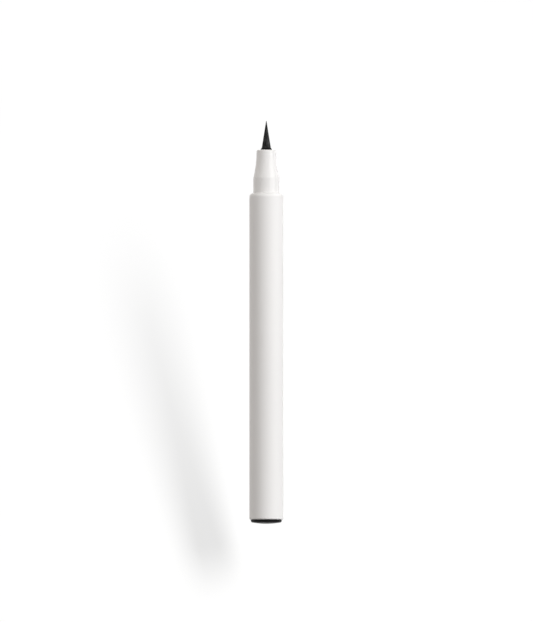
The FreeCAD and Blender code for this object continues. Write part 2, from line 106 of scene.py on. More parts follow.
class EYELINER_PG_sizes(bpy.types.PropertyGroup):
    """Sizes of the modelled pieces. Radii and heights that the CAD model has are read from it."""

    around: count("Faces around", "Faces round each turned piece", 160)
    # barrel
    barrel_radius: length("Barrel radius", "Outside of the barrel", outer_radius("barrel"))
    barrel_wall: length("Barrel wall", "Wall along the ink tank", 0.85 * MM)
    wall_rings: count("Wall rings", "Rings along the barrel's wall", 24)
    mouth_depth: length(
        "Mouth depth", "How far the narrow mouth reaches down", top("barrel") - top("ink_tank")
    )
    mouth_radius: length("Mouth radius", "Bore that grips the nozzle's skirt", 3.52 * MM)
    mouth_edge: length("Mouth edge", "Rounding of the mouth's edge", 0.12 * MM)
    shoulder_radius: length("Shoulder radius", "Rounding of the barrel's top edge", 1.1 * MM)
    tail_radius: length("Tail radius", "Rounding of the barrel's lower edge", 0.38 * MM)
    tail_drop: length("Tail drop", "How far the barrel reaches below the CAD barrel", 0.05 * MM)
    # tail plug
    plug_radius: length(
        "Plug radius", "Outside of the plug's head", outer_radius("end_plug") + 0.08 * MM
    )
    plug_spigot_radius: length("Plug spigot radius", "Outside of the part in the barrel", 4.12 * MM)
    plug_spigot_edge: length("Plug spigot edge", "Rounding of the spigot's end", 0.15 * MM)
    plug_wall: length("Plug wall", "Wall of the hollow spigot", 0.9 * MM)
    plug_floor: length("Plug floor", "Solid thickness above the head", 1.0 * MM)
    plug_sag: length("Plug sag", "How far the dome hangs below the CAD plug", 0.11 * MM)
    plug_dome: length("Plug dome", "Rise of the domed end", 0.45 * MM)
    plug_edge: length("Plug edge", "Rounding of the head's edge", 0.42 * MM)
    plug_rim_edge: length("Plug rim edge", "Rounding of the head against the barrel", 0.08 * MM)
    dome_rings: count("Dome rings", "Rings across the domed end", 10)
    # nozzle
    seat_radius: length(
        "Cap seat radius", "Wall that the cap slides on", outer_radius("nozzle") + 0.04 * MM
    )
    seat_length: length("Cap seat length", "Height of the seat above the barrel", 4.5 * MM)
    seat_blend: length("Cap seat blend", "Softening between the seat and the cone", 0.3 * MM)
    seat_rings: count("Cap seat rings", "Rings along the seat", 6)
    skirt_radius: length("Skirt radius", "Outside of the part inside the barrel", 3.5 * MM)
    skirt_wall: length("Skirt wall", "Wall of the skirt", 0.75 * MM)
    waist_radius: length("Waist radius", "Radius where the cone's sweep ends", 2.95 * MM)
    waist_depth: length("Waist depth", "How far the waist lies below the nozzle's tip", 1.9 * MM)
    nozzle_tip_radius: length("Nozzle tip radius", "Radius of the nozzle's flat end", 2.87 * MM)
    nozzle_rim: length("Nozzle rim", "Rounding of the nozzle's end", 0.35 * MM)
    nozzle_edge: length("Nozzle edge", "Rounding of the hole and the seat's foot", 0.06 * MM)
    flank_rings: count("Flank rings", "Rings along the swept cone", 22)
    fit_gap: length("Fit gap", "Room round the ferrule in the nozzle", 0.02 * MM)
    ferrule_room: length("Ferrule room", "Room below the ferrule in the nozzle", 1.6 * MM)
    # ferrule
    ferrule_neck: length("Ferrule neck", "Neck in the nozzle's tip", 1.7 * MM)
    ferrule_neck_length: length("Ferrule neck length", "Length of the neck", 3.5 * MM)
    flare_foot: length("Flare foot", "Outside of the flare's foot on the nozzle's tip", 1.78 * MM)
    flare_gap: length("Flare gap", "From the nozzle's tip up to the flare's foot", 0.004 * MM)
    ferrule_lip: length("Ferrule lip", "Outside of the flare's thin upper lip", 1.45 * MM)
    lip_edge: length("Lip edge", "Rounding of the lip", 0.03 * MM)
    ferrule_bore: length("Ferrule bore", "Hole that the bristles stand in", 1.34 * MM)
    counterbore: length("Counterbore", "Wider hole for the root's flange", 1.62 * MM)
    counterbore_depth: length("Counterbore depth", "Depth of the hole for the flange", 2.4 * MM)
    flare_sweep: amount("Flare sweep", "1 is a straight flare, more is a hollower one", 1.4)
    flare_rings: count("Flare rings", "Rings along the curved flare", 8)
    # bristles
    bristle_radius: length(
        "Bristle radius", "Bundle's radius at the ferrule", outer_radius("bristle_tuft")
    )
    bristle_hold: length("Bristle hold", "How far the bristles reach into the ferrule", 0.5 * MM)
    bristle_width: length("Bristle width", "Half a bristle's width, along the outline", 0.062 * MM)
    bristle_depth: length("Bristle depth", "Half a bristle's depth, across the outline", 0.04 * MM)
    bristle_swell: amount("Bristle swell", "How much the bundle widens above the ferrule", 1.04)
    bristle_point: amount("Bristle point", "Thickness at the point, of that at the root", 0.05)
    bend_reach: amount("Bend reach", "Height that bends, as a share of the free length", 1.2)


class EYELINER_PG_finishes(bpy.types.PropertyGroup):
    """Colours of the finishes, as linear values."""

    barrel_white: colour("Barrel white", "Soft-touch coating", (0.83, 0.819, 0.808))
    nozzle_white: colour("Nozzle white", "Glossy moulding", (0.835, 0.824, 0.813))
    ferrule_black: colour("Ferrule black", "Glossy black moulding", (0.004, 0.004, 0.0042))
    plug_black: colour("Plug black", "Satin black moulding", (0.004, 0.004, 0.0042))
    bristle_black: colour("Bristle black", "Ink-soaked synthetic fibre", (0.016, 0.016, 0.0163))
    bristle_grey: colour("Bristle grey", "Lighter fibres among the black", (0.073, 0.073, 0.074))
    tank_clear: colour("Tank", "Natural polypropylene", (0.9, 0.92, 0.91))
    stopper_white: colour("Stopper", "Natural polyethylene", (0.78, 0.79, 0.8))
    steel: colour("Ball", "Stainless steel", (0.6, 0.61, 0.63))
    collector_grey: colour("Collector", "Moulded plastic", (0.42, 0.43, 0.45))
    ink_black: colour("Ink", "Black ink and what it has stained", (0.012, 0.012, 0.014))
    rubber_black: colour("Seal", "Nitrile rubber", (0.02, 0.02, 0.02))


class EYELINER_PG_stage(bpy.types.PropertyGroup):
    """The camera, the lights and the sweep behind the pen."""

    frame_height: length("Frame height", "Height of the picture at the pen", 183.75 * MM)
    aim_height: length("Aim height", "Height that the camera looks at", 62.74 * MM)
    aim_aside: length("Aim aside", "How far right of the pen's axis the camera looks", 0.06 * MM)
    camera_pitch: angle("Camera pitch", "How far below level the camera stands", 1.6 * DEG)
    camera_distance: length("Camera distance", "From the camera to the pen's axis", 5.0)
    sweep_gap: length("Sweep gap", "From the pen's axis back to the sweep, at the tail", 22.2 * MM)
    sweep_lean: angle("Sweep lean", "How far the sweep leans back", 17.2 * DEG)
    sweep_turn: angle("Sweep turn", "How far the sweep's left side is turned away", 2.5 * DEG)
    sweep_drop: length("Sweep drop", "From the tail down to the floor", 0.3)
    paper_glow: amount("Paper glow", "Share of the paper's white that shadow can't darken", 0.734)
    shadow_depth: amount("Shadow depth", "Share of the white that the shadow lamp gives", 0.234)
    shadow_top: length("Shadow top", "Height at which the shadow has faded out", 127.0 * MM)
    shadow_foot: length("Shadow foot", "Depth below which the paper keeps no shadow", 60.0 * MM)
    shadow_distance: length("Shadow distance", "From the pen's middle to the shadow lamp", 8.0)
    shadow_azimuth: angle("Shadow azimuth", "Turn of the shadow lamp right of the camera", 39.5 * DEG)
    shadow_elevation: angle("Shadow elevation", "Height of the shadow lamp over the horizon", 26.6 * DEG)
    shadow_spread: angle("Shadow spread", "Angle that the shadow lamp covers across", 11.6 * DEG)
    shadow_height: amount("Shadow height", "Height of the shadow lamp, in widths", 2.83)
    white_level: amount("White level", "Brightness of the plain white seen round the pen", 1.006)
    key_distance: length("Key distance", "From the pen's middle to the key light", 1.15)
    key_azimuth: angle("Key azimuth", "Turn of the key light right of the camera", 53.0 * DEG)
    key_elevation: angle("Key elevation", "Height of the key light over the horizon", 13.0 * DEG)
    key_size: length("Key size", "Width of the round key and back lights", 0.7)
    key_power: amount("Key power", "Watts of the key light", 9.71)
    key_tint: colour("Key tint", "Colour of the key light", (0.958, 0.978, 1.0))
    back_azimuth: angle("Back azimuth", "Turn of the back light right of the camera", 188.0 * DEG)
    back_elevation: angle("Back elevation", "Height of the back light over the horizon", 20.0 * DEG)
    back_power: amount("Back power", "Watts of the back light", 6.2)
    fill_strength: amount("Fill strength", "Light from all around", 0.685)
    fill_tint: colour("Fill tint", "Colour of the light from all around", (1.0, 0.9655, 0.936))
    panel_strength: amount("Panel strength", "Brightness of the panel that gloss mirrors", 2.1)


# Modelling by rings and edges


def deselect_everything():
    """Back to object mode with nothing selected."""
    if bpy.context.object is not None and bpy.context.object.mode != "OBJECT":
        bpy.ops.object.mode_set(mode="OBJECT")
    bpy.ops.object.select_all(action="DESELECT")


def begin_rings(name, radius, height, around):
    """A circle at that height, in edit mode, from which a round piece is drawn."""
    deselect_everything()
    bpy.ops.mesh.primitive_circle_add(
        vertices=around, radius=radius, fill_type="NOTHING", location=(0.0, 0.0, height)
    )
    piece = bpy.context.object
    piece.name = name
    piece.data.name = name
    bpy.ops.object.transform_apply()
    bpy.ops.object.mode_set(mode="EDIT")
    bpy.ops.mesh.select_all(action="SELECT")
    return piece


def extrude_rings(start, rings):
    """Extrudes the selected ring through (radius, height) pairs. A radius of 0 closes it."""
    radius, height = start
    for next_radius, next_height in rings:
        rise = (0.0, 0.0, next_height - height)
        bpy.ops.mesh.extrude_region_move(TRANSFORM_OT_translate={"value": rise})
        if next_radius == 0.0:
            bpy.ops.mesh.merge(type="CENTER")
            return
        share = next_radius / radius
        centre = (0.0, 0.0, next_height)
        bpy.ops.transform.resize(value=(share, share, 1.0), center_override=centre)
        radius, height = next_radius, next_height


def select_edges(piece, found, where):
    """Selects the edges whose ends both pass a test, and nothing else."""
    bpy.ops.mesh.select_mode(type="EDGE")
    bpy.ops.mesh.select_all(action="DESELECT")
    mesh = bmesh.from_edit_mesh(piece.data)
    for edge in mesh.edges:
        edge.select_set(all(found(vertex.co) for vertex in edge.verts))
    bmesh.update_edit_mesh(piece.data)
    if not any(edge.select for edge in mesh.edges):
        raise RuntimeError(f"{piece.name} has no edge at {where}")


def select_ring(piece, radius, height):
    """Selects the ring at that radius and height."""

    def found(place):
        out = math.hypot(place.x, place.y)
        return abs(out - radius) < FIND_WITHIN and abs(place.z - height) < FIND_WITHIN

    select_edges(piece, found, f"radius {radius} and height {height}")


def bevel(width, steps):
    """Rounds the selected edges."""
    bpy.ops.mesh.bevel(
        offset=width, offset_type="OFFSET", segments=steps, profile=0.5, affect="EDGES"
    )


def round_ring(piece, radius, height, width, steps):
    """Rounds the ring at that radius and height."""
    select_ring(piece, radius, height)
    bevel(width, steps)


def merge_and_face_out():
    """Closes seams and turns all faces outwards."""
    bpy.ops.mesh.select_mode(type="VERT")
    bpy.ops.mesh.select_all(action="SELECT")
    bpy.ops.mesh.remove_doubles(threshold=MERGE_WITHIN)
    bpy.ops.mesh.normals_make_consistent(inside=False)


def finish_shape(piece):
    """Leaves edit mode and smooths the piece, except at its sharp edges."""
    deselect_everything()
    piece.select_set(True)
    bpy.context.view_layer.objects.active = piece
    bpy.ops.object.shade_smooth_by_angle(angle=SMOOTH_UNDER)


def evenly(start, end, steps):
    """Values after start up to end, in equal steps."""
    return [start + (end - start) * i / steps for i in range(1, steps + 1)]


# Nodes


def add_node(tree, kind, links=None, values=None, **settings):
    """Adds a node, links and sets its inputs by name or place, and sets its properties."""
    made = tree.nodes.new(kind)
    for name, value in settings.items():
        setattr(made, name, value)
    for socket, value in (values or {}).items():
        made.inputs[socket].default_value = value
    for socket, source in (links or {}).items():
        tree.links.new(source, made.inputs[socket])
    return made


def spread(tree, source, start, end, low, high):
    """A value moved from the range start to end into the range low to high, and held there."""
    values = {"From Min": start, "From Max": end, "To Min": low, "To Max": high}
    return add_node(tree, "ShaderNodeMapRange", {"Value": source}, values).outputs["Result"]


def combine(tree, operation, first, second):
    """Two values added or multiplied, or the larger of them."""
    links = {0: first, 1: second}
    return add_node(tree, "ShaderNodeMath", links, operation=operation).outputs[0]


def mix(tree, share, first, second):
    """The first shader where the share is 0 and the second where it is 1."""
    links = {0: share, 1: first.outputs[0], 2: second.outputs[0]}
    return add_node(tree, "ShaderNodeMixShader", links)


def blank_material(name):
    """A new material with no nodes, and its tree."""
    material = bpy.data.materials.new(name)
    material.use_nodes = True
    material.node_tree.nodes.clear()
    return material, material.node_tree


# Finishes


class Finish:
    """A new material on a Principled shader, with its textures on Object coordinates."""

    def __init__(self, name):
        self.material = bpy.data.materials.new(name)
        self.material.use_nodes = True
        self.tree = self.material.node_tree
        self.shader = self.tree.nodes["Principled BSDF"]
        self.place = add_node(self.tree, "ShaderNodeTexCoord").outputs["Object"]

    def set(self, **values):
        """Sets shader sockets by name, with _ for a space."""
        for name, value in values.items():
            self.shader.inputs[name.replace("_", " ")].default_value = value
        return self

    def link(self, name, source):
        """Links a value or colour to a shader socket."""
        self.tree.links.new(source, self.shader.inputs[name])

    def noise(self, scale, aside=1.0, along=1.0, detail=3.0, roughness=0.55):
        """Noise with so many features per metre, drawn out aside or along the pen by shares under 1."""
        stretch = {"Scale": (1.0, aside, along)}
        mapping = add_node(self.tree, "ShaderNodeMapping", {"Vector": self.place}, stretch)
        values = {"Scale": scale, "Detail": detail, "Roughness": roughness}
        links = {"Vector": mapping.outputs["Vector"]}
        return add_node(self.tree, "ShaderNodeTexNoise", links, values).outputs["Fac"]

    def height(self):
        """Height along the pen, in metres."""
        return add_node(self.tree, "ShaderNodeSeparateXYZ", {"Vector": self.place}).outputs["Z"]

    def colours(self, source, low, high, start=NOISE_LOW, end=NOISE_HIGH):
        """Colours the surface from low to high as a value goes from start to end."""
        ramp = add_node(self.tree, "ShaderNodeValToRGB", {"Fac": source})
        for element, place, rgb in zip(ramp.color_ramp.elements, (start, end), (low, high)):
            element.position = place
            element.color = (*rgb, 1.0)
        self.link("Base Color", ramp.outputs["Color"])

    def shades(self, noise, rgb, low, high):
        """Colours the surface with shades of one colour, from low to high times its brightness."""
        dark, light = (tuple(min(1.0, c * factor) for c in rgb) for factor in (low, high))
        self.colours(noise, dark, light)

    def over_noise(self, noise, low, high):
        """A value that goes from low to high over the middle of a noise."""
        return spread(self.tree, noise, NOISE_LOW, NOISE_HIGH, low, high)

    def roughness(self, noise, low, high):
        """Makes the surface rougher, from low to high, with a noise."""
        self.link("Roughness", self.over_noise(noise, low, high))

    def bump(self, source, depth, strength):
        """Raises and lowers the surface by a value, to that depth in metres."""
        values = {"Distance": depth, "Strength": strength}
        made = add_node(self.tree, "ShaderNodeBump", {"Height": source}, values)
        self.link("Normal", made.outputs["Normal"])

    def put_on(self, piece):
        """Gives a piece this material alone."""
        if not piece.material_slots:
            piece.data.materials.append(self.material)
        for slot in piece.material_slots:
            slot.material = self.material


def soft_touch_white(finishes):
    """The barrel's coating: matte, with a fine even grain and a faint cloudiness."""
    finish = Finish("soft_touch_white")
    cloud = finish.noise(90.0, along=0.35, detail=4.0)
    grain = finish.noise(5200.0, detail=2.0)
    finish.shades(cloud, finishes.barrel_white, 0.985, 1.01)
    finish.roughness(cloud, 0.5, 0.58)
    finish.bump(grain, depth=0.006 * MM, strength=0.35)
    return finish.set(IOR=1.46, Specular_IOR_Level=0.35)


def gloss_white(finishes):
    """The nozzle's moulding: glossy, with a trace of flow in its surface and a matte end face."""
    finish = Finish("gloss_white")
    flow = finish.noise(160.0, along=0.25)
    ripple = finish.noise(700.0, along=0.4, detail=2.0)
    finish.shades(flow, finishes.nozzle_white, 0.988, 1.008)
    tip, depth, matte = top("nozzle"), 0.08 * MM, 0.75
    end_face = spread(finish.tree, finish.height(), tip - depth, tip, 0.0, matte)
    gloss = finish.over_noise(flow, 0.06, 0.09)
    finish.link("Roughness", combine(finish.tree, "ADD", gloss, end_face))
    finish.bump(ripple, depth=0.003 * MM, strength=0.2)
    return finish.set(IOR=1.5)


def gloss_black(finishes):
    """The ferrule's moulding: deep black and glossy."""
    finish = Finish("gloss_black")
    flow = finish.noise(900.0)
    finish.shades(flow, finishes.ferrule_black, 0.8, 1.3)
    finish.roughness(flow, 0.2, 0.3)
    finish.bump(flow, depth=0.003 * MM, strength=0.3)
    return finish.set(IOR=1.46, Specular_IOR_Level=0.12)


def satin_black(finishes):
    """The tail plug's moulding: satin black with a fine spark-eroded grain."""
    finish = Finish("satin_black")
    cloud = finish.noise(300.0, detail=4.0)
    grain = finish.noise(6500.0, detail=2.0)
    finish.shades(cloud, finishes.plug_black, 0.8, 1.35)
    finish.roughness(cloud, 0.42, 0.52)
    finish.bump(grain, depth=0.008 * MM, strength=0.4)
    return finish.set(IOR=1.46, Specular_IOR_Level=0.1)


def bristle_fibre(finishes, name="bristle_fibre"):
    """Ink-soaked synthetic fibre: dark streaks along the bristles, with a low gleam."""
    finish = Finish(name)
    streak = finish.noise(9000.0, along=0.03, detail=2.0)
    patch = finish.noise(1000.0, along=0.4, detail=2.0)
    mixed = combine(finish.tree, "MULTIPLY", streak, patch)
    finish.colours(mixed, finishes.bristle_black, finishes.bristle_grey, start=0.18, end=0.42)
    finish.roughness(streak, 0.32, 0.48)
    finish.bump(streak, depth=0.006 * MM, strength=0.5)
    return finish.set(IOR=1.5, Specular_IOR_Level=0.035)


def clear_tank(finishes):
    """The ink tank: milky, see-through polypropylene."""
    finish = Finish("milky_polypropylene")
    flow = finish.noise(220.0, along=0.2)
    finish.shades(flow, finishes.tank_clear, 0.96, 1.0)
    finish.roughness(flow, 0.28, 0.4)
    finish.bump(flow, depth=0.01 * MM, strength=0.3)
    return finish.set(IOR=1.49, Transmission_Weight=0.6)


def waxy_stopper(finishes):
    """The tank's stopper: waxy natural polyethylene."""
    finish = Finish("waxy_polyethylene")
    cloud = finish.noise(500.0, detail=4.0)
    finish.shades(cloud, finishes.stopper_white, 0.94, 1.0)
    finish.roughness(cloud, 0.42, 0.55)
    finish.bump(cloud, depth=0.01 * MM, strength=0.3)
    return finish.set(IOR=1.51)


def ball_steel(finishes):
    """The mixing ball: tumbled stainless steel with fine scratches."""
    finish = Finish("tumbled_steel")
    scratch = finish.noise(2600.0, aside=0.15, along=0.15)
    finish.shades(scratch, finishes.steel, 0.85, 1.0)
    finish.roughness(scratch, 0.16, 0.32)
    finish.bump(scratch, depth=0.002 * MM, strength=0.4)
    return finish.set(Metallic=1.0)


def inked_collector(finishes):
    """The collector: grey plastic whose fins the ink has stained, more towards the tank."""
    finish = Finish("inked_collector")
    blot = finish.noise(650.0, along=0.5, detail=4.0)
    low, high = bottom("ink_collector"), top("ink_collector")
    soaked, clean = 0.35, -0.2
    ink_level = spread(finish.tree, finish.height(), low, high, soaked, clean)
    stain = combine(finish.tree, "ADD", blot, ink_level)
    finish.colours(stain, finishes.collector_grey, finishes.ink_black, start=0.45, end=0.8)
    finish.roughness(blot, 0.22, 0.45)
    finish.bump(blot, depth=0.008 * MM, strength=0.3)
    return finish.set(IOR=1.52)


def seal_rubber(finishes):
    """The collector's seal: dull black rubber."""
    finish = Finish("seal_rubber")
    grain = finish.noise(4000.0)
    finish.shades(grain, finishes.rubber_black, 0.8, 1.4)
    finish.roughness(grain, 0.55, 0.75)
    finish.bump(grain, depth=0.01 * MM, strength=0.5)
    return finish


def wick_felt(finishes):
    """The wick: bonded fibres along its length, soaked in ink."""
    finish = Finish("wick_felt")
    strand = finish.noise(12000.0, along=0.02)
    finish.shades(strand, finishes.ink_black, 1.0, 4.0)
    finish.roughness(strand, 0.6, 0.85)
    finish.bump(strand, depth=0.02 * MM, strength=0.6)
    return finish


def retainer_plastic(finishes):
    """The wick's retainer: off-white moulding blotched with grey ink."""
    finish = Finish("retainer_plastic")
    blot = finish.noise(1100.0, detail=4.0)
    finish.colours(blot, finishes.stopper_white, finishes.collector_grey, start=0.5, end=0.75)
    finish.roughness(blot, 0.35, 0.5)
    finish.bump(blot, depth=0.006 * MM, strength=0.3)
    return finish


# Pieces


class EYELINER_OT_barrel(bpy.types.Operator):
    """Models the white barrel, a sleeve with a rounded shoulder and a narrower mouth"""

    bl_idname = "eyeliner.barrel"
    bl_label = "Barrel"

    def execute(self, context):
        sizes = context.scene.eyeliner_sizes
        low, high = bottom("barrel") - sizes.tail_drop, top("barrel")
        outside, bore = sizes.barrel_radius, sizes.barrel_radius - sizes.barrel_wall
        step = high - sizes.mouth_depth
        # The wall's rings keep clear of the rounded edges
        wall_low, wall_high = low + 2 * sizes.tail_radius, high - 1.3 * sizes.shoulder_radius
        piece = begin_rings("barrel_sleeve", bore, low, sizes.around)
        extrude_rings((bore, low), [
            (outside, low),
            (outside, wall_low),
            *[(outside, z) for z in evenly(wall_low, wall_high, sizes.wall_rings)],
            (outside, high),
            (sizes.mouth_radius, high),
            (sizes.mouth_radius, step),
            (bore, step),
            (bore, low),
        ])
        merge_and_face_out()
        round_ring(piece, outside, high, sizes.shoulder_radius, steps=12)
        round_ring(piece, outside, low, sizes.tail_radius, steps=8)
        round_ring(piece, sizes.mouth_radius, high, sizes.mouth_edge, steps=3)
        finish_shape(piece)
        soft_touch_white(context.scene.eyeliner_finishes).put_on(piece)
        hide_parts("barrel")
        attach(piece, "pen")
        return {"FINISHED"}


class EYELINER_OT_end_plug(bpy.types.Operator):
    """Models the black plug at the tail, with its domed head and hollow spigot"""

    bl_idname = "eyeliner.end_plug"
    bl_label = "Tail plug"

    def execute(self, context):
        sizes = context.scene.eyeliner_sizes
        low, high = bottom("end_plug") - sizes.plug_sag, top("end_plug")
        rim = bottom("barrel") - sizes.tail_drop
        head, spigot = sizes.plug_radius, sizes.plug_spigot_radius
        hollow = spigot - sizes.plug_wall
        floor = rim + sizes.plug_floor
        inwards = evenly(1.0, 0.0, sizes.dome_rings)
        dome = [(head * share, low + sizes.plug_dome * share**2) for share in inwards]
        edge = low + sizes.plug_dome
        piece = begin_rings("tail_plug", head, edge, sizes.around)
        extrude_rings((head, edge), dome)
        select_ring(piece, head, edge)
        extrude_rings((head, edge), [
            (head, rim),
            (spigot, rim),
            (spigot, high),
            (hollow, high),
            (hollow, floor),
            (0.0, floor),
        ])
        merge_and_face_out()
        round_ring(piece, head, edge, sizes.plug_edge, steps=8)
        round_ring(piece, head, rim, sizes.plug_rim_edge, steps=3)
        round_ring(piece, spigot, high, sizes.plug_spigot_edge, steps=3)
        finish_shape(piece)
        satin_black(context.scene.eyeliner_finishes).put_on(piece)
        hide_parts("end_plug")
        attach(piece, "pen")
        return {"FINISHED"}


class EYELINER_OT_nozzle(bpy.types.Operator):
    """Models the glossy nozzle, with the cap's seat, a swept cone and a rounded rim"""

    bl_idname = "eyeliner.nozzle"
    bl_label = "Nozzle"

    def execute(self, context):
        sizes = context.scene.eyeliner_sizes
        low, high, mouth = bottom("nozzle"), top("nozzle"), top("barrel")
        seat, tip = sizes.seat_radius, sizes.nozzle_tip_radius
        seat_top, waist = mouth + sizes.seat_length, high - sizes.waist_depth
        seat_wall_top = seat_top - 2 * sizes.seat_blend
        skirt_bore = sizes.skirt_radius - sizes.skirt_wall
        neck_hole = sizes.ferrule_neck + sizes.fit_gap
        body_hole = outer_radius("brush_ferrule") + sizes.fit_gap
        stop = high - sizes.ferrule_neck_length
        bore_top = bottom("brush_ferrule") - sizes.ferrule_room
        piece = begin_rings("nozzle_cone", skirt_bore, low, sizes.around)
        extrude_rings((skirt_bore, low), [
            (sizes.skirt_radius, low),
            (sizes.skirt_radius, mouth),
            (seat, mouth),
            *[(seat, z) for z in evenly(mouth, seat_wall_top, sizes.seat_rings)],
            (seat, seat_top),
            *self.flank(sizes, seat_top, waist, high),
            (tip, high),
            (neck_hole, high),
            (neck_hole, stop),
            (body_hole, stop),
            (body_hole, bore_top),
            (skirt_bore, bore_top),
            (skirt_bore, low),
        ])
        merge_and_face_out()
        round_ring(piece, tip, high, sizes.nozzle_rim, steps=10)
        round_ring(piece, seat, seat_top, sizes.seat_blend, steps=6)
        round_ring(piece, neck_hole, high, sizes.nozzle_edge, steps=3)
        round_ring(piece, seat, mouth, sizes.nozzle_edge, steps=3)
        finish_shape(piece)
        gloss_white(context.scene.eyeliner_finishes).put_on(piece)
        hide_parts("nozzle")
        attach(piece, "pen")
        return {"FINISHED"}

    @staticmethod
    def flank(sizes, seat_top, waist, high):
        """Rings of the hollow cone: an arc that runs on into the slow taper of the tip."""
        start, end = (sizes.seat_radius, seat_top), (sizes.waist_radius, waist)
        along = (sizes.nozzle_tip_radius - end[0], high - end[1])
        normal = (-along[1], along[0])
        chord = (start[0] - end[0], start[1] - end[1])
        chord_on_normal = chord[0] * normal[0] + chord[1] * normal[1]
        reach = (chord[0] ** 2 + chord[1] ** 2) / (2 * chord_on_normal)
        centre = (end[0] + reach * normal[0], end[1] + reach * normal[1])
        first, last = (math.atan2(p[1] - centre[1], p[0] - centre[0]) for p in (start, end))
        last += round((first - last) / math.tau) * math.tau
        radius = math.hypot(start[0] - centre[0], start[1] - centre[1])
        turns = evenly(first, last, sizes.flank_rings)
        arc = [(centre[0] + radius * math.cos(a), centre[1] + radius * math.sin(a)) for a in turns]
        # The first rings make room for the softened edge of the seat
        room_for_blend = 2
        taper_top = high - 2 * sizes.nozzle_rim
        share = (taper_top - waist) / (high - waist)
        return [*arc[room_for_blend:], (end[0] + along[0] * share, taper_top)]


class EYELINER_OT_ferrule(bpy.types.Operator):
    """Models the black ferrule, whose curved flare stands out of the nozzle's tip"""

    bl_idname = "eyeliner.ferrule"
    bl_label = "Ferrule"

    def execute(self, context):
        sizes = context.scene.eyeliner_sizes
        low, high, tip = bottom("brush_ferrule"), top("brush_ferrule"), top("nozzle")
        body, neck, lip = outer_radius("brush_ferrule"), sizes.ferrule_neck, sizes.ferrule_lip
        foot, seat = sizes.flare_foot, tip + sizes.flare_gap
        stop = tip - sizes.ferrule_neck_length
        flange_top = low + sizes.counterbore_depth
        flare = [
            (lip + (foot - lip) * (1 - s) ** sizes.flare_sweep, seat + (high - seat) * s)
            for s in evenly(0.0, 1.0, sizes.flare_rings)
        ]
        piece = begin_rings("ferrule_collar", sizes.counterbore, low, sizes.around)
        extrude_rings((sizes.counterbore, low), [
            (body, low),
            (body, stop),
            (neck, stop),
            (neck, seat),
            (foot, seat),
            *flare,
            (sizes.ferrule_bore, high),
            (sizes.ferrule_bore, flange_top),
            (sizes.counterbore, flange_top),
            (sizes.counterbore, low),
        ])
        merge_and_face_out()
        round_ring(piece, lip, high, sizes.lip_edge, steps=3)
        finish_shape(piece)
        gloss_black(context.scene.eyeliner_finishes).put_on(piece)
        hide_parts("brush_ferrule")
        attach(piece, "pen")
        return {"FINISHED"}


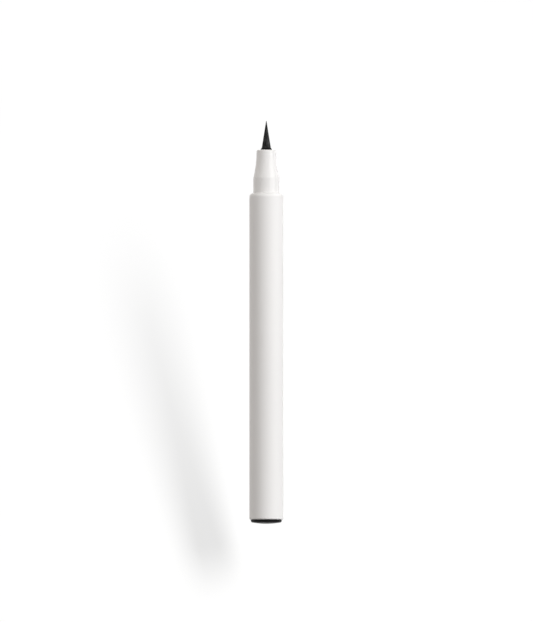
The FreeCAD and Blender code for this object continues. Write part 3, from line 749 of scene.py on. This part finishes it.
class EYELINER_OT_bristles(bpy.types.Operator):
    """Models the brush tip as a bundle of bristles, drawn to a point"""

    bl_idname = "eyeliner.bristles"
    bl_label = "Bristles"

    SEED = 7
    # Most that a bristle is cut shorter, turned and made wider or narrower
    CUT, TURN, WIDEN = 0.13, 0.3, 0.15
    # Height above the ferrule from which the bundle is at its widest
    FREE_FROM = 0.2 * MM
    SMOOTH_FIBRES_UNDER = 65.0 * DEG

    def execute(self, context):
        sizes = context.scene.eyeliner_sizes
        chance = random.Random(self.SEED)
        pivot, point = top("brush_ferrule"), top("bristle_tuft")
        root = -sizes.bristle_hold
        reach = point - pivot - root
        bristle = self.one_bristle(sizes, root, reach)
        bundle = self.heart(sizes, root, reach)
        copies = []
        for out, turn in self.packing(sizes, chance):
            copy = bristle.copy()
            copy.data = bristle.data.copy()
            context.collection.objects.link(copy)
            trim = 1 - self.CUT * chance.random() ** 2
            copy.location = (out * math.cos(turn), out * math.sin(turn), root * (1 - trim))
            copy.rotation_euler = (0.0, 0.0, turn + chance.uniform(-self.TURN, self.TURN))
            copy.scale = (1.0, chance.uniform(1 - self.WIDEN, 1 + self.WIDEN), trim)
            copies.append(copy)
        bpy.data.objects.remove(bristle)
        deselect_everything()
        for piece in [bundle, *copies]:
            piece.select_set(True)
        context.view_layer.objects.active = bundle
        bpy.ops.object.join()
        self.swell(bundle, sizes)
        self.draw_to_a_point(bundle, sizes, reach)
        bundle.location = (0.0, 0.0, pivot)
        bpy.ops.object.transform_apply()
        bpy.ops.object.shade_smooth_by_angle(angle=self.SMOOTH_FIBRES_UNDER)
        bristle_fibre(context.scene.eyeliner_finishes).put_on(bundle)
        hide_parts("bristle_tuft")
        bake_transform(bundle)
        return {"FINISHED"}

    @staticmethod
    def packing(sizes, chance):
        """Radius and turn of each bristle: rings from the outline inwards, each a little uneven."""
        half_width, half_depth = sizes.bristle_width, sizes.bristle_depth
        spacing, ring_spacing, fewest = 1.9 * half_width, 2.4 * half_depth, 3
        sink, jitter = 0.5 * half_depth, 0.12
        places = []
        out = sizes.bristle_radius - half_depth
        while out > half_depth:
            in_ring = max(fewest, round(math.tau * out / spacing))
            offset = chance.random()
            for i in range(in_ring):
                inwards = sink * chance.random() ** 2
                turn = (i + offset + chance.uniform(-jitter, jitter)) * math.tau / in_ring
                places.append((out - inwards, turn))
            out -= ring_spacing
        return places

    def one_bristle(self, sizes, root, reach):
        """A straight bristle, flattened by its packing, with rings so that it can bend."""
        sides, free_rings = 6, 6
        bristle = begin_rings("bristle", 1.0, root, sides)
        bpy.ops.mesh.edge_face_add()
        heights = [self.FREE_FROM, *evenly(self.FREE_FROM, root + reach, free_rings)]
        extrude_rings((1.0, root), [(1.0, z) for z in heights])
        merge_and_face_out()
        bpy.ops.object.mode_set(mode="OBJECT")
        bristle.scale = (sizes.bristle_depth, sizes.bristle_width, 1.0)
        bpy.ops.object.transform_apply()
        return bristle

    @staticmethod
    def heart(sizes, root, reach):
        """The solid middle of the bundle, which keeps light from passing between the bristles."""
        around, rings = 32, 11
        width_share, height_share = 0.95, 0.86
        wide, high = width_share * sizes.bristle_radius, root + height_share * reach
        piece = begin_rings("bristle_bundle", wide, root, around)
        walls = [(wide, z) for z in evenly(root, high, rings)]
        extrude_rings((wide, root), [*walls, (0.0, high)])
        select_ring(piece, wide, root)
        extrude_rings((wide, root), [(0.0, root)])
        merge_and_face_out()
        finish_shape(piece)
        return piece

    def swell(self, bundle, sizes):
        """Widens the bundle above the ferrule, where nothing holds it."""
        bpy.ops.object.mode_set(mode="EDIT")
        bpy.ops.mesh.select_mode(type="VERT")
        mesh = bmesh.from_edit_mesh(bundle.data)
        for vertex in mesh.verts:
            vertex.select_set(vertex.co.z > self.FREE_FROM / 2)
        bmesh.update_edit_mesh(bundle.data)
        wider = sizes.bristle_swell
        bpy.ops.transform.resize(value=(wider, wider, 1.0), center_override=(0.0, 0.0, 0.0))
        bpy.ops.object.mode_set(mode="OBJECT")

    @staticmethod
    def draw_to_a_point(bundle, sizes, reach):
        """Tapers the straight bundle from the pivot up."""
        taper = bundle.modifiers.new("taper", "SIMPLE_DEFORM")
        taper.deform_method = "TAPER"
        taper.deform_axis = "Z"
        taper.factor = sizes.bristle_point - 1
        taper.limits = (sizes.bristle_hold / reach, 1.0)
        bpy.ops.object.modifier_apply(modifier=taper.name)


class EYELINER_OT_ink_system(bpy.types.Operator):
    """Finishes the pieces inside the pen, which keep their CAD shapes"""

    bl_idname = "eyeliner.ink_system"
    bl_label = "Ink system"

    def execute(self, context):
        finishes = context.scene.eyeliner_finishes
        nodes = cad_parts
        clear_tank(finishes).put_on(nodes["ink_tank"])
        waxy_stopper(finishes).put_on(nodes["tank_stopper"])
        ball_steel(finishes).put_on(nodes["mixing_ball"])
        inked_collector(finishes).put_on(nodes["ink_collector"])
        seal_rubber(finishes).put_on(nodes["collector_seal"])
        wick_felt(finishes).put_on(nodes["feed_wick"])
        retainer_plastic(finishes).put_on(nodes["wick_retainer"])
        bristle_fibre(finishes, "root_fibre").put_on(nodes["bristle_root"])
        return {"FINISHED"}


# Stage


class EYELINER_OT_stage(bpy.types.Operator):
    """Sets the sweep, the lights, the world and the camera"""

    bl_idname = "eyeliner.stage"
    bl_label = "Stage"

    def execute(self, context):
        stage = context.scene.eyeliner_stage
        sweep = self.sweep(stage)
        self.lights(context, stage, sweep)
        self.panels(stage)
        self.world(context, stage)
        self.camera(context, stage)
        context.scene.view_settings.view_transform = "Standard"
        return {"FINISHED"}

    def sweep(self, stage):
        """A white floor that runs up into a backdrop, which leans back behind the pen."""
        deselect_everything()
        wide, deep, tall, bend = 2.0, 1.5, 1.2, 0.08
        slope = math.tan(stage.sweep_lean)
        foot = stage.sweep_gap - stage.sweep_drop * slope
        middle = (0.0, foot - deep / 2, -stage.sweep_drop)
        bpy.ops.mesh.primitive_plane_add(size=1.0, location=middle)
        sweep = bpy.context.object
        sweep.name = "sweep"
        sweep.scale = (wide, deep, 1.0)
        bpy.ops.object.transform_apply()
        bpy.ops.object.mode_set(mode="EDIT")
        self.select_across(sweep, foot)
        rise = (0.0, tall * slope, tall)
        bpy.ops.mesh.extrude_region_move(TRANSFORM_OT_translate={"value": rise})
        self.select_across(sweep, foot)
        bevel(bend, steps=16)
        bpy.ops.object.mode_set(mode="OBJECT")
        bpy.ops.object.shade_smooth()
        sweep.rotation_euler = (0.0, 0.0, -stage.sweep_turn)
        bpy.ops.object.transform_apply(location=False, rotation=True, scale=False)
        sweep.data.materials.append(self.sweep_paper(stage))
        return sweep

    @staticmethod
    def select_across(sweep, depth):
        """Selects the edge that runs across the sweep at that depth."""
        select_edges(sweep, lambda place: abs(place.y - depth) < FIND_WITHIN, f"depth {depth}")

    @staticmethod
    def seen(tree):
        """1 for what the camera sees directly, mirrored or through something clear."""
        path = add_node(tree, "ShaderNodeLightPath").outputs
        in_view = combine(tree, "MAXIMUM", path["Is Camera Ray"], path["Is Glossy Ray"])
        return combine(tree, "MAXIMUM", in_view, path["Is Transmission Ray"])

    def sweep_paper(self, stage):
        """White paper that keeps the pen's shadow, lights the pen and is clear from behind."""
        paper, tree = blank_material("sweep_paper")
        geometry = add_node(tree, "ShaderNodeNewGeometry").outputs
        place = add_node(tree, "ShaderNodeSeparateXYZ", {0: geometry["Position"]}).outputs
        # The light that the paper gives the pen dims below the tail and to the right of the pen
        dim_depth, dim_share = 0.12, 0.2
        left, right, right_share = -0.01, 0.06, 0.3
        lit = stage.fill_strength
        below = spread(tree, place["Z"], -dim_depth, 0.0, dim_share * lit, lit)
        aside = spread(tree, place["X"], left, right, 1.0, right_share)
        strength = combine(tree, "MULTIPLY", below, aside)
        tint = (*stage.fill_tint, 1.0)
        bounce = add_node(tree, "ShaderNodeEmission", {"Strength": strength}, {"Color": tint})
        # The shadow lies between the foot and the top, and is deepest at the tail
        foot, start = -stage.shadow_foot, -stage.shadow_foot / 2
        under_top = spread(tree, place["Z"], stage.shadow_top, 0.0, 0.0, 1.0)
        over_foot = spread(tree, place["Z"], foot, start, 0.0, 1.0)
        kept = combine(tree, "MULTIPLY", under_top, over_foot)
        grey = (PAPER_SHADE, PAPER_SHADE, PAPER_SHADE, 1.0)
        shaded = add_node(tree, "ShaderNodeBsdfDiffuse", values={"Color": grey})
        glow = add_node(tree, "ShaderNodeEmission", values={"Strength": stage.paper_glow})
        links = {0: shaded.outputs[0], 1: glow.outputs[0]}
        shadowed = add_node(tree, "ShaderNodeAddShader", links)
        plain = add_node(tree, "ShaderNodeEmission", values={"Strength": stage.white_level})
        white = mix(tree, kept, plain, shadowed)
        front = mix(tree, self.seen(tree), bounce, white)
        clear = add_node(tree, "ShaderNodeBsdfTransparent")
        both = mix(tree, geometry["Backfacing"], front, clear)
        add_node(tree, "ShaderNodeOutputMaterial", {"Surface": both.outputs[0]})
        return paper

    @staticmethod
    def place_round_pen(thing, azimuth, elevation, distance, aim):
        """Puts a light or panel at a distance from the pen, facing it."""
        flat, rise = math.cos(elevation) * distance, math.sin(elevation) * distance
        thing.location = (flat * math.sin(azimuth), -flat * math.cos(azimuth), aim + rise)
        thing.rotation_euler = (math.pi / 2 - elevation, 0.0, azimuth)

    def lamp(self, context, stage, name, turn, size, power):
        """An area lamp that faces the pen, seen neither by the camera nor in mirrors."""
        data = bpy.data.lights.new(name, "AREA")
        data.shape = "ELLIPSE"
        data.size, data.size_y = size
        data.energy = power
        lamp = bpy.data.objects.new(name, data)
        context.scene.collection.objects.link(lamp)
        self.place_round_pen(lamp, *turn, stage.aim_height)
        lamp.visible_camera = False
        lamp.visible_glossy = False
        return lamp

    @staticmethod
    def sweep_as(name, sweep, state):
        """A collection that takes the sweep in or leaves it out, for a lamp's links."""
        linked = bpy.data.collections.new(name)
        linked.objects.link(sweep)
        linked.collection_objects[0].light_linking.link_state = state
        return linked

    def lights(self, context, stage, sweep):
        """Soft lamps before and behind the pen, and a tall one that throws its shadow."""
        pen_only = self.sweep_as("all_but_the_sweep", sweep, "EXCLUDE")
        size = (stage.key_size, stage.key_size)
        turn = (stage.key_azimuth, stage.key_elevation, stage.key_distance)
        key = self.lamp(context, stage, "key_light", turn, size, stage.key_power)
        key.data.color = stage.key_tint
        key.light_linking.receiver_collection = pen_only
        turn = (stage.back_azimuth, stage.back_elevation, stage.key_distance)
        back = self.lamp(context, stage, "back_light", turn, size, stage.back_power)
        back.light_linking.receiver_collection = pen_only
        back.light_linking.blocker_collection = pen_only
        far, rise = stage.shadow_distance, stage.shadow_elevation
        wide = 2 * far * math.tan(stage.shadow_spread / 2)
        size = (wide, wide * stage.shadow_height)
        # How squarely the lamp's light falls on the leaning, turned paper
        across = math.cos(stage.shadow_azimuth + stage.sweep_turn)
        squarely = math.cos(rise) * across * math.cos(stage.sweep_lean)
        squarely += math.sin(rise) * math.sin(stage.sweep_lean)
        power = stage.shadow_depth * math.pi**2 * far**2 / (PAPER_SHADE * squarely)
        turn = (stage.shadow_azimuth, rise, far)
        shadow = self.lamp(context, stage, "shadow_lamp", turn, size, power)
        shadow.light_linking.receiver_collection = self.sweep_as("the_sweep", sweep, "INCLUDE")

    def panels(self, stage):
        """What the glossy pieces mirror: a card on the left, a bright panel and a dark flag."""
        bright = (stage.panel_strength, stage.panel_strength)
        fading, dark = (1.6, 0.5), (0.0, 0.0)
        near, far = 0.25, 1.0
        self.panel("grey_card", far, turns=(-98.0, 33.0), heights=(-0.8, 0.9), strengths=fading)
        self.panel("bright_panel", far, turns=(33.0, 79.5), heights=(0.05, 0.9), strengths=bright)
        self.panel("dark_flag", near, turns=(80.0, 97.0), heights=(-0.15, 0.25), strengths=dark)

    def panel(self, name, distance, turns, heights, strengths):
        """An upright panel between two turns in degrees, fading across, that only mirrors show."""
        first, last = (turn * DEG for turn in turns)
        wide, tall = 2 * distance * math.tan((last - first) / 2), heights[1] - heights[0]
        deselect_everything()
        bpy.ops.mesh.primitive_grid_add(x_subdivisions=8, y_subdivisions=8, size=1.0)
        panel = bpy.context.object
        panel.name = name
        panel.scale = (wide, tall, 1.0)
        bpy.ops.object.transform_apply(location=False, rotation=False, scale=True)
        self.place_round_pen(panel, (first + last) / 2, 0.0, distance, sum(heights) / 2)
        cloth, tree = blank_material(name)
        place = add_node(tree, "ShaderNodeTexCoord").outputs["Object"]
        across = add_node(tree, "ShaderNodeSeparateXYZ", {0: place}).outputs["X"]
        strength = spread(tree, across, -wide / 2, wide / 2, *strengths)
        glow = add_node(tree, "ShaderNodeEmission", {"Strength": strength})
        add_node(tree, "ShaderNodeOutputMaterial", {"Surface": glow.outputs[0]})
        panel.data.materials.append(cloth)
        panel.visible_camera = False
        panel.visible_diffuse = False
        panel.visible_transmission = False
        panel.visible_shadow = False

    def world(self, context, stage):
        """Even light from all around, and white where it is seen."""
        world = context.scene.world or bpy.data.worlds.new("studio")
        context.scene.world = world
        world.use_nodes = True
        tree = world.node_tree
        tree.nodes.clear()
        fill_light = {"Color": (*stage.fill_tint, 1.0), "Strength": stage.fill_strength}
        seen_white = {"Color": (1.0, 1.0, 1.0, 1.0), "Strength": stage.white_level}
        fill = add_node(tree, "ShaderNodeBackground", values=fill_light)
        white = add_node(tree, "ShaderNodeBackground", values=seen_white)
        mixed = mix(tree, self.seen(tree), fill, white)
        add_node(tree, "ShaderNodeOutputWorld", {"Surface": mixed.outputs[0]})

    def camera(self, context, stage):
        """A long lens, square to the pen but for a slight look up at it."""
        distance, pitch = stage.camera_distance, stage.camera_pitch
        data = bpy.data.cameras.new("camera")
        data.sensor_width = 36.0
        data.lens = data.sensor_width * distance / stage.frame_height
        data.clip_end = 4 * distance
        camera = bpy.data.objects.new("camera", data)
        context.scene.collection.objects.link(camera)
        back, drop = distance * math.cos(pitch), distance * math.sin(pitch)
        camera.location = (stage.aim_aside, -back, stage.aim_height - drop)
        camera.rotation_euler = (math.pi / 2 + pitch, 0.0, 0.0)
        context.scene.camera = camera


class EYELINER_PT_pen(bpy.types.Panel):
    """Lists the pen's pieces and the values that shape them"""

    bl_idname = "EYELINER_PT_pen"
    bl_label = "Eyeliner pen"
    bl_space_type = "VIEW_3D"
    bl_region_type = "UI"
    bl_category = "Eyeliner"

    def draw(self, context):
        scene = context.scene
        for operator in OPERATORS:
            self.layout.operator(operator.bl_idname)
        for group in (scene.eyeliner_sizes, scene.eyeliner_finishes, scene.eyeliner_stage):
            box = self.layout.box()
            for name in group.__annotations__:
                box.prop(group, name)


OPERATORS = (
    EYELINER_OT_barrel,
    EYELINER_OT_end_plug,
    EYELINER_OT_nozzle,
    EYELINER_OT_ferrule,
    EYELINER_OT_bristles,
    EYELINER_OT_ink_system,
    EYELINER_OT_stage,
)
CLASSES = (
    EYELINER_PG_sizes,
    EYELINER_PG_finishes,
    EYELINER_PG_stage,
    *OPERATORS,
    EYELINER_PT_pen,
)


def register():
    """Registers the classes and gives the scene its settings."""
    for cls in CLASSES:
        bpy.utils.register_class(cls)
    bpy.types.Scene.eyeliner_sizes = bpy.props.PointerProperty(type=EYELINER_PG_sizes)
    bpy.types.Scene.eyeliner_finishes = bpy.props.PointerProperty(type=EYELINER_PG_finishes)
    bpy.types.Scene.eyeliner_stage = bpy.props.PointerProperty(type=EYELINER_PG_stage)


def unregister():
    """Removes the settings and the classes."""
    del bpy.types.Scene.eyeliner_stage
    del bpy.types.Scene.eyeliner_finishes
    del bpy.types.Scene.eyeliner_sizes
    for cls in reversed(CLASSES):
        bpy.utils.unregister_class(cls)


def main():
    """Builds the pen and its stage."""
    register()
    bpy.ops.eyeliner.barrel()
    bpy.ops.eyeliner.end_plug()
    bpy.ops.eyeliner.nozzle()
    bpy.ops.eyeliner.ferrule()
    bpy.ops.eyeliner.bristles()
    bpy.ops.eyeliner.ink_system()
    bpy.ops.eyeliner.stage()


if __name__ == "__main__":
    main()
